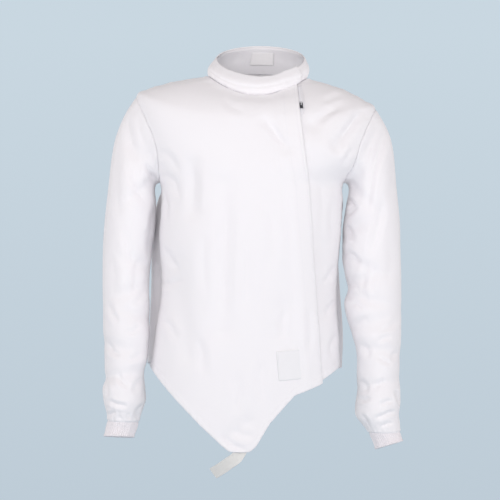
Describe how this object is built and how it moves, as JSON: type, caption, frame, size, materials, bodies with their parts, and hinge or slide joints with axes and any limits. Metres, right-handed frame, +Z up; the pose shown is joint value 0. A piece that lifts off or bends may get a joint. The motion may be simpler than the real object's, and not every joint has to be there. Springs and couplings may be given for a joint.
{
  "type": "fencing jacket",
  "caption": "White fencing jacket in its worn form, with a side opening, a standing collar, long sleeves with knitted cuffs and a pointed front tongue with a crotch strap.",
  "frame": {"origin": "base of the neck, where the wearer's shoulders carry the jacket", "axes": "+Z up, the front faces -Y, the wearer's left is +X"},
  "size_m": [0.5663, 0.254, 0.821],
  "materials": {
    "jacket_cloth": "white close-woven protective cloth with a soft satin sheen",
    "collar_cloth": "white close-woven cloth with a top-stitched edge",
    "cuff_knit": "soft rib knit, white with a faint pink cast",
    "lining_satin": "smooth white satin lining",
    "label_weave": "woven label in off-white, with plain stripes",
    "zip_tape_weave": "woven zip tape with a fine coil",
    "slider_metal": "white lacquered metal slider",
    "pull_plastic": "dark moulded pull tab",
    "strap_elastic": "off-white woven elastic webbing"
  },
  "bodies": {
    "jacket": {"front_main": "jacket_cloth", "front_left": "jacket_cloth", "back": "jacket_cloth", "sleeve_right": "jacket_cloth", "sleeve_left": "jacket_cloth", "cuff_right": "cuff_knit", "cuff_left": "cuff_knit", "collar": "collar_cloth", "collar_lining": "lining_satin", "neck_label": "label_weave", "hem_label": "label_weave", "zip_tape": "zip_tape_weave", "zip_slider": "slider_metal", "crotch_strap": "strap_elastic"},
    "pull_tab": {"zip_pull": "pull_plastic"}
  },
  "joints": [
    {"name": "pull_tab_hinge", "type": "hinge", "parent": "jacket", "child": "pull_tab", "pos_m": [0.08909, -0.09495, -0.03533], "axis": [-0.9906, -0.1357, 0.0159], "range_deg": [0, 150]}
  ]
}
